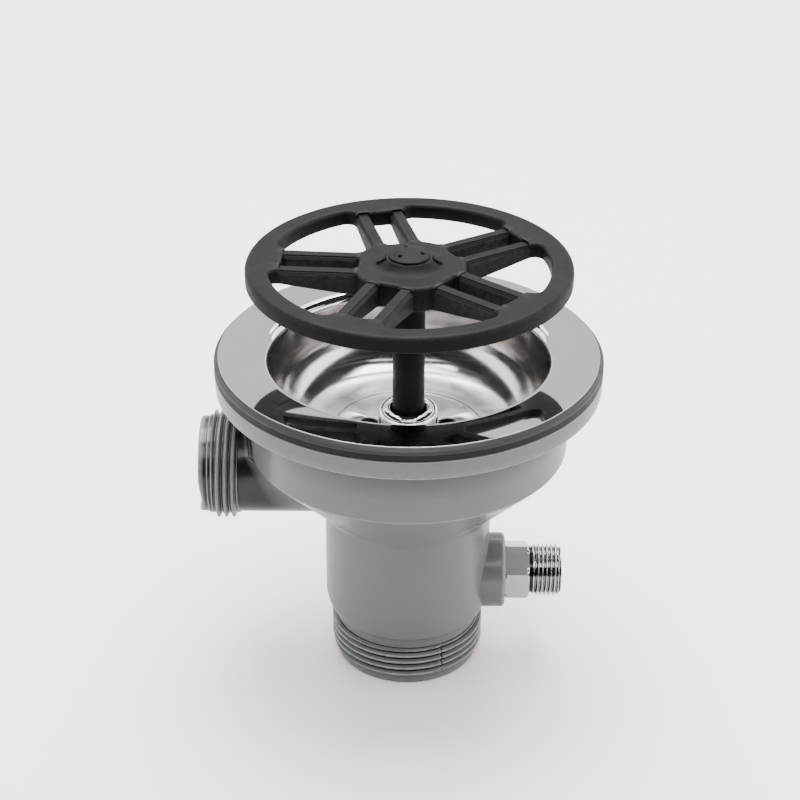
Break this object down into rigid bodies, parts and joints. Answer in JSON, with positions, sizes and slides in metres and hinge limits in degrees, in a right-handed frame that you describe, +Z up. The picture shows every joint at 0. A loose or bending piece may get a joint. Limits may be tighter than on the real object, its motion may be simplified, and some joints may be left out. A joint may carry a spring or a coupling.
{
  "type": "sink waste with overflow",
  "caption": "Kitchen sink waste with a pop-up carrier wheel over a strainer cup, a side overflow spigot, a threaded outlet and a rotary control fitting.",
  "frame": {"origin": "centre of the outlet's lower end, on the drain's axis", "axes": "+Z up along the drain's axis, +X towards the control fitting, -X towards the overflow spigot"},
  "size_m": [0.1218, 0.1166, 0.1393],
  "materials": {
    "body_plastic": "mid grey moulded plastic, satin, smooth",
    "cup_steel": "stainless steel, satin polished",
    "grey_rubber": "mid grey rubber, smooth",
    "black_rubber": "near black rubber, smooth",
    "chrome": "bright chrome on brass",
    "brass": "bare turned brass",
    "white_plastic": "natural white acetal, slightly glossy",
    "black_plastic": "black moulded plastic, fine satin",
    "steel": "plain stainless steel"
  },
  "bodies": {
    "housing": {"body": "body_plastic", "outlet_neck": "body_plastic", "overflow_spigot": "body_plastic", "control_boss": "body_plastic", "spider": "body_plastic", "strainer_cup": "cup_steel", "upper_gasket": "grey_rubber", "lower_gasket": "black_rubber", "collar_screw": "chrome", "threaded_insert": "brass", "guide_bush": "white_plastic", "control_fitting": "chrome", "fitting_washer": "black_rubber"},
    "plunger": {"carrier_wheel": "black_plastic", "hub_cap": "black_plastic", "stem": "black_plastic", "stem_screw": "steel", "stem_foot": "white_plastic", "foot_clip": "steel"},
    "control": {"control_shaft": "brass", "shaft_seal_inner": "black_rubber", "shaft_seal_outer": "black_rubber", "crank_arm": "white_plastic", "arm_clip": "steel", "shaft_clip": "steel"}
  },
  "joints": [
    {"name": "control_turn", "type": "hinge", "parent": "housing", "child": "control", "pos_m": [0.02, 0, 0.0282], "axis": [1, 0, 0], "range_deg": [0, 120]},
    {"name": "plunger_lift", "type": "slide", "parent": "housing", "child": "plunger", "axis": [0, 0, 1], "range_m": [-0.0245, 0]}
  ],
  "couplings": [
    {"joint": "plunger_lift", "follows": "control_turn", "m_per_rad": -0.01169}
  ]
}
